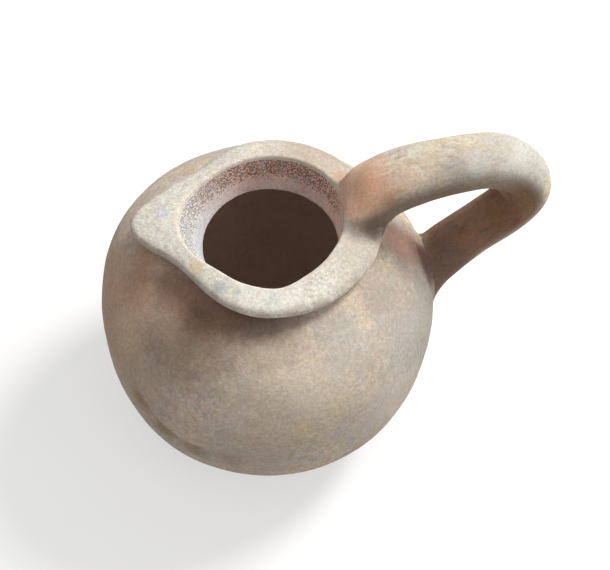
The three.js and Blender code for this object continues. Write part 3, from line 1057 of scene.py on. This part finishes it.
bodyLook = dict(
    seed=1,
    light=(213, 198, 179),
    dark=(197, 181, 163),
    broad=dict(Size=0.032, Edge=0.12),
    mottles=[  # size in metres, how rare, colour, strength
        (0.014, 0.53, (184, 181, 169), 0.50),
        (0.012, 0.55, (210, 181, 158), 0.44),
        (0.009, 0.56, (197, 189, 196), 0.48),
        (0.006, 0.55, (226, 206, 168), 0.42),
        (0.0036, 0.55, (230, 220, 206), 0.42),
        (0.0030, 0.56, (168, 145, 128), 0.36),
    ],
    spots=spotsAt(onBody, [
        (326, 20, 40, (170, 165, 156), 0.85),
        (320, 45, 16, (186, 174, 162), 0.60),
        (300, 4, 30, (218, 208, 195), 0.75),
        (186, 28, 46, (198, 167, 143), 0.85),
        (212, 14, 26, (190, 171, 154), 0.60),
        (96, 40, 26, (184, 177, 167), 0.65),
        (150, 40, 20, (208, 193, 178), 0.50),
        # From here to the spot at 179 degrees: painted shade under the lip's overhang, from beside the beak
        # round to the near side, darkest close under its edge
        (222, 43, 30, (158, 134, 116), 0.80),
        (250, 45, 18, (166, 147, 131), 0.65),
        (262, 46, 14, (168, 148, 130), 0.80),
        (241, 45, 13, (148, 128, 113), 0.75),
        (226, 45, 13, (142, 124, 106), 0.75),
        (200, 49, 13, (156, 124, 106), 0.80),
        (215, 50, 13, (148, 116, 98), 0.85),
        (230, 50, 13, (140, 109, 92), 0.90),
        (245, 50, 14, (126, 98, 81), 0.95),
        (258, 50, 13, (122, 99, 84), 0.95),
        (270, 50, 10, (146, 127, 115), 0.80),
        (283, 50, 8, (170, 152, 142), 0.50),
        (224, 47.7, 10, (122, 98, 81), 0.90),
        (179, 46.5, 12, (190, 152, 128), 0.60),
        # Painted shade below the low step on the belly, in these four spots
        (211, 1, 10, (158, 134, 108), 0.70),
        (221, -9, 10, (150, 130, 106), 0.75),
        (233, -12, 10, (152, 134, 112), 0.75),
        (245, -11, 10, (158, 140, 120), 0.65),
        # More painted shade under the lip, in these three spots, lighter towards the near right
        (190, 43, 13, (178, 144, 122), 0.85),
        (203, 47, 10, (146, 118, 100), 0.50),
        (290, 46, 12, (182, 170, 158), 0.70),
        (199, 32, 14, (216, 190, 166), 0.60),
        # Painted light on the middle of the belly, where it faces the camera, in these two spots
        (262, 30, 36, (230, 215, 196), 0.60),
        (279, 29, 24, (222, 210, 192), 0.55),
        (292, 41, 17, (202, 197, 187), 0.70),
        (318, 45, 14, (180, 168, 157), 0.60),
        (252, -1, 36, (186, 174, 160), 0.55),
        (338, 41, 9, (180, 162, 153), 0.50),
        (348, 46, 9, (222, 184, 170), 0.80),
        (345, 42, 7, (214, 176, 162), 0.60),
        (352, 41, 13, (240, 196, 180), 0.90),
        (1, 42, 6, (218, 206, 197), 0.70),
        (312, 31, 20, (197, 192, 185), 0.50),
        # Painted shade in the corner where the handle lands
        (350, 28, 10, (138, 116, 106), 0.85),
        (269, 16, 7, (226, 202, 158), 0.45),
        (282, 22, 9, (222, 202, 162), 0.40),
    ]) + landingTintAndShade,
    flecks=[  # size, how rare, colour, strength
        (0.0015, 0.55, (232, 222, 206), 0.22),
        (0.0016, 0.57, (168, 148, 132), 0.22),
    ],
    scribbles=[(0.0024, 0.030, (230, 220, 206), 0.20)],  # size, width, colour, strength
    grain=dict(Size=0.00055, Contrast=0.62, Tint=0.20),
    depth=0.00010,
)


def bodyClay():
    material, tree, shader = clayMaterial("bodyClay")
    grained(tree, shader, dappled(tree, ground(tree, bodyLook), bodyLook), bodyLook)
    return material


lipLook = dict(
    seed=20,
    light=(224, 219, 207),
    dark=(210, 203, 189),
    broad=dict(Size=0.020, Edge=0.10),
    mottles=[
        (0.0065, 0.56, (216, 200, 178), 0.35),
        (0.0055, 0.57, (200, 206, 198), 0.35),
        (0.0045, 0.58, (208, 204, 214), 0.35),
        (0.0022, 0.56, (240, 236, 226), 0.40),
        (0.0018, 0.57, (186, 176, 158), 0.36),
    ],
    spots=spotsAt(onLip, [
        (255, 38, 22, (240, 236, 224), 0.60),
        (50, 38, 26, (198, 181, 165), 0.85),
        (330, 37, 22, (203, 194, 181), 0.75),
        (8, 40, 14, (196, 176, 164), 0.60),
        (338, 36, 8, (188, 170, 162), 0.60),
        (164, 40, 5, (210, 208, 222), 0.55),
        (209, 34, 4.2, (214, 192, 150), 0.65),
        (229, 36, 4.2, (180, 180, 188), 0.70),
        (240, 35, 2.8, (186, 196, 186), 0.60),
        (262, 36, 4, (204, 210, 204), 0.45),
        (106, 36, 7, (208, 200, 206), 0.45),
    ]) + rootTintAndShade,
    flecks=[
        (0.0014, 0.55, (244, 240, 231), 0.35),
        (0.0015, 0.57, (176, 166, 149), 0.24),
    ],
    scribbles=[(0.0026, 0.034, (250, 247, 240), 0.50)],
    grain=dict(Size=0.00050, Contrast=0.58, Tint=0.18),
    depth=0.00010,
    # patches that break up the peach along the mouth and the painted shade along the outer edge
    edgePatches=dict(Size=0.006, Level=0.42, Edge=0.2, Offset=(0.2, 0.9, 0.3)),
    edges=[
        ("fromMouth", 0.0020, (230, 217, 203), 0.45),  # peach along the mouth
        ("fromEdge", 0.0024, (176, 160, 142), 0.60),  # painted shade, grey-brown, along the rounded outer edge
    ],
    edgeFade=(0.3, 1.5),  # in widths of the edge
)


def lipClay():
    look = lipLook
    material, tree, shader = clayMaterial("lipClay")
    colour = dappled(tree, ground(tree, look), look)
    edgePatches = placed(tree, "patches", **look["edgePatches"])["Mask"]
    for name, width, shade, strength in look["edges"]:
        near, far = (share * width for share in look["edgeFade"])
        band = ramp(tree, attributeNode(tree, name)["Fac"], near, far, 1.0, 0.0)
        colour = mixed(tree, times(tree, band, edgePatches), colour, shade, strength)
    grained(tree, shader, colour, look)
    return material


throatLook = dict(
    seed=40,
    base=(223, 198, 190),
    burnt=(226, 186, 167),  # under the mouth's edge
    burntStrength=0.85,
    bloom=(200, 202, 206),  # bluish white, on the side towards the beak
    bloomTop=(230, 230, 228),
    bloomPlace=dict(Centre=(-0.0300, -0.0040, 0.111), Reach=0.046, Ragged=0.008),
    bloomStrength=0.95,
    pit=(104, 68, 56),
    bloomPit=(180, 174, 162),
    pitStrength=0.75,
    pits=dict(Size=0.00064, Edge=0.045),
    pitLevels=(0.0465, 0.0535),  # rare at the lower level, crowded at the upper
    pitRarity=(0.70, 0.515),
    pitDepth=0.00025,
    mottles=[(0.006, 0.54, (204, 172, 158), 0.45), (0.004, 0.56, (206, 198, 204), 0.40)],
    spots=spotsAt(onLip, [(12, 30, 20, (255, 214, 192), 0.90)]),
    strip=spotsAt(anywhere, [  # under the handle's root
        (28.5, -3, 115, 9, (255, 224, 206), 0.85),
        (30, 2, 120.5, 7.5, (252, 208, 188), 0.80),
    ]),
    flecks=[(0.0012, 0.60, (236, 230, 224), 0.30)],
    scribbles=[],
    grain=dict(Size=0.00055, Contrast=0.55, Tint=0.14),
    depth=0.00008,
)


def throatClay():
    look = throatLook
    material, tree, shader = clayMaterial("throatClay")
    height = addNode(tree, "ShaderNodeSeparateXYZ", Vector=placeIn(tree)).outputs["Z"]
    foot, top = (widest + level for level in look["pitLevels"])
    high = ramp(tree, height, foot, top)
    colour = dappled(tree, mixed(tree, high, look["base"], look["burnt"], look["burntStrength"]), look)
    bloom = placed(tree, "spot", **look["bloomPlace"])["Mask"]
    pale = mixed(tree, high, look["bloom"], look["bloomTop"])
    colour = mixed(tree, bloom, colour, pale, look["bloomStrength"])
    rarity = ramp(tree, height, foot, top, *look["pitRarity"])
    pits = placed(tree, "patches", Level=rarity, **look["pits"])["Mask"]
    colour = mixed(tree, pits, colour, mixed(tree, bloom, look["pit"], look["bloomPit"]), look["pitStrength"])
    colour = stained(tree, colour, look["strip"])
    grained(tree, shader, colour, look, times(tree, pits, -look["pitDepth"]))
    return material


handleLook = dict(
    seed=60,
    light=(213, 201, 180),
    dark=(201, 186, 163),
    broad=dict(Size=0.022, Edge=0.12, Offset=(0.2, 0.2, 0.6)),
    mottles=[
        (0.010, 0.54, (218, 200, 168), 0.32),
        (0.008, 0.56, (194, 191, 190), 0.42),
        (0.0045, 0.57, (222, 196, 176), 0.30),
        (0.0030, 0.57, (236, 231, 218), 0.32),
    ],
    spots=spotsAt(onHandle, [
        (68, -9, -3, 20, (200, 200, 195), 0.75),
        (42, -5, -8, 13, (178, 171, 162), 0.65),
        (30, -11, 1, 6, (218, 216, 210), 0.45),
        (26, -5.5, -8.5, 10, (230, 206, 182), 0.65),
        (50, -7, -7.5, 8, (222, 218, 210), 0.65),
        (62, -6, -8, 12, (226, 220, 208), 0.75),
        (56, -10.5, 0, 12, (196, 192, 182), 0.65),
        (33, -10, -2, 8, (208, 194, 168), 0.60),
        (12, -8, -4, 19, (238, 188, 156), 0.92),
        (17, -3, -9, 6, (206, 158, 130), 0.55),
        (5, -9, -5, 6, (244, 204, 180), 0.60),
        (11, -9.5, 4.5, 7, (255, 214, 188), 0.80),
    ]) + spotsAt(anywhere, [(30, -5, 128, 8, (255, 216, 194), 0.85)]) + rootTintAndShade,
    streaks=[  # size, how rare, colour, strength
        (0.0045, 0.53, (218, 196, 152), 0.46),
        (0.0036, 0.55, (180, 173, 168), 0.52),
        (0.0020, 0.57, (242, 237, 226), 0.48),
        (0.0017, 0.59, (152, 134, 114), 0.48),
    ],
    flecks=[(0.0014, 0.56, (238, 232, 220), 0.25), (0.0015, 0.58, (168, 152, 138), 0.25)],
    scribbles=[(0.0030, 0.020, (246, 242, 234), 0.18)],
    grain=dict(Size=0.00052, Contrast=0.55, Tint=0.20),
    depth=0.00009,
    under=(130, 112, 97),  # painted shade on its underside
    underShadeStrength=0.90,
    underShadeFade=(-0.0060, 0.0014),  # from its side to its underside
    rootFade=(0.008, 0.018),  # the inner side of its root is free of it
    nearFade=(-0.0100, -0.0060, 1.0, 0.0),  # but not the side towards the camera
    nearStart=(0.001, 0.006),
    outerFade=(0.040, 0.052, 1.0, 0.80),
    paintedShade=(140, 110, 92),  # painted shade on the inside of the bend and the lower arm, under the upper arm
    paintedShadeStrength=0.95,
    paintedShadeFade=(-0.0035, 0.0025),
    paintedShadeStart=(0.058, 0.076),
    paintedShadeEdge=dict(Size=0.006, Edge=0.3, Offset=(0.4, 0.8, 0.2)),
    paintedShadeWander=0.003,
    # darker spots in the painted shade
    paintedShadeSpots=spotsAt(onHandle, [
        (108, 10, 2, 12, (168, 134, 112), 0.60),
        (80, 2.5, -9.5, 10, (130, 106, 80), 0.60),
        (101, 6.5, -8, 12, (134, 95, 70), 0.60),
    ]),
    # streaks in the painted shade
    paintedShadeStreaks=[
        (0.0050, 0.53, (164, 114, 86), 0.55),
        (0.0040, 0.55, (146, 126, 92), 0.60),
        (0.0030, 0.56, (116, 92, 80), 0.60),
    ],
)


def streaked(tree, colour, streaks, seed=0.0):
    start, step = (seed, 0, 0.57), (0.13, 0.31, 0)
    return layered(tree, colour, "streaks", streaks, start, step)


def handleClay():
    look = handleLook
    material, tree, shader = clayMaterial("handleClay")
    colour = dappled(tree, streaked(tree, ground(tree, look), look["streaks"]), look)
    place = addNode(tree, "ShaderNodeSeparateXYZ", Vector=attributeNode(tree, "rolled")["Vector"]).outputs
    # Painted shade on the handle's underside: it spares the inner side of its root but not its near side, and
    # is a little weaker past the crown
    near = times(tree, ramp(tree, place["X"], *look["nearFade"]), ramp(tree, place["Z"], *look["nearStart"]))
    under = mathNode(tree, "MAXIMUM", ramp(tree, place["Z"], *look["rootFade"]), near)
    under = times(tree, under, ramp(tree, place["Z"], *look["outerFade"]))
    under = times(tree, under, ramp(tree, place["Y"], *look["underShadeFade"]))
    colour = mixed(tree, under, colour, look["under"], look["underShadeStrength"])
    # Painted shade on the inside of the bend and the lower arm, under the upper arm, with a wandering edge
    # and streaks of its own
    wander = times(tree, placed(tree, "streaks", **look["paintedShadeEdge"])["Mask"], look["paintedShadeWander"])
    paintedShadeMask = ramp(tree, plus(tree, place["Y"], wander), *look["paintedShadeFade"])
    paintedShadeMask = times(tree, paintedShadeMask, ramp(tree, place["Z"], *look["paintedShadeStart"]))
    paintedShade = streaked(tree, look["paintedShade"], look["paintedShadeStreaks"], 0.4)
    colour = mixed(tree, paintedShadeMask, colour, paintedShade, look["paintedShadeStrength"])
    grained(tree, shader, stained(tree, colour, look["paintedShadeSpots"] + landingTintAndShade), look)
    return material


hollowLook = dict(
    light=(214, 194, 176),
    dark=(208, 186, 168),
    broad=dict(Size=0.020, Edge=0.20),
    grain=dict(Size=0.0012, Contrast=0.15, Tint=0.02),
    depth=0.00005,
)


def hollowClay():
    material, tree, shader = clayMaterial("hollowClay")
    grained(tree, shader, ground(tree, hollowLook), hollowLook)
    return material


# 1 for what the camera sees, straight or in a reflection or through glass.
def seenDirectly(tree):
    path = addNode(tree, "ShaderNodeLightPath").outputs
    glossy = mathNode(tree, "MAXIMUM", path["Is Camera Ray"], path["Is Glossy Ray"])
    return mathNode(tree, "MAXIMUM", glossy, path["Is Transmission Ray"])


floorLook = dict(
    size=6.0,
    drop=0.00002,
    seen=(0.52, 0.52, 0.52, 1),
    lift=0.52,
    bounce=(0.34, 0.325, 0.31, 1),
)


def makeFloor():
    half = floorLook["size"] / 2
    corners = [(-half, -half, 0), (half, -half, 0), (half, half, 0), (-half, half, 0)]
    mesh = bpy.data.meshes.new("floor")
    mesh.from_pydata(corners, [], [(0, 1, 2, 3)])
    floor = bpy.data.objects.new("floor", mesh)
    floor.location.z = -floorLook["drop"]
    material = bpy.data.materials.new("floor")
    material.use_nodes = True
    tree = material.node_tree
    shader = tree.nodes["Principled BSDF"]
    seen = seenDirectly(tree)
    tree.links.new(mixed(tree, seen, floorLook["bounce"], floorLook["seen"]), shader.inputs["Base Color"])
    shader.inputs["Roughness"].default_value = 1
    shader.inputs["Specular IOR Level"].default_value = 0
    shader.inputs["Emission Color"].default_value = (1, 1, 1, 1)
    tree.links.new(times(tree, seen, floorLook["lift"]), shader.inputs["Emission Strength"])
    mesh.materials.append(material)
    bpy.context.scene.collection.objects.link(floor)


light = dict(
    fill=0.43,  # the world, for everything but what the camera sees of it
    fillColour=(1.0, 0.99, 0.98, 1),
    distance=1.3,
    key=dict(level=0.69, azimuth=32, elevation=50, size=0.40, colour=(1.0, 0.985, 0.96)),
    front=dict(level=0.12, azimuth=315, elevation=35, size=1.1, colour=(1.0, 1.0, 1.0)),
)


# level is the brightness of white clay that faces the lamp.
def makeLamp(name, level, azimuth, elevation, size, colour):
    data = bpy.data.lights.new(name, "AREA")
    data.shape = "DISK"
    data.size = size
    data.color = colour
    data.energy = 4 * math.pi * level * light["distance"] ** 2
    standRound(name, data, azimuth, elevation, light["distance"])


def makeLight():
    world = bpy.data.worlds.new("world")
    bpy.context.scene.world = world
    world.use_nodes = True
    tree = world.node_tree
    fill = tree.nodes["Background"]
    fill.inputs["Color"].default_value = light["fillColour"]
    fill.inputs["Strength"].default_value = light["fill"]
    white = addNode(tree, "ShaderNodeBackground", Color=(1, 1, 1, 1), Strength=1.0).outputs[0]
    choice = addNode(tree, "ShaderNodeMixShader", i0=seenDirectly(tree), i1=fill.outputs[0], i2=white)
    tree.links.new(choice.outputs[0], tree.nodes["World Output"].inputs["Surface"])
    makeLamp("key", **light["key"])
    makeLamp("front", **light["front"])


makeCamera()
print("camera set")
materials = dict(
    body=bodyClay(),
    lip=lipClay(),
    throat=throatClay(),
    handle=handleClay(),
    hollow=hollowClay(),
)
print("materials made")
makeFoot()
makeBowl()
makeDome()
makeCollar()
makeLip()
makeHandle()
print("pieces made")
makeFloor()
makeLight()
print("floor and light set")
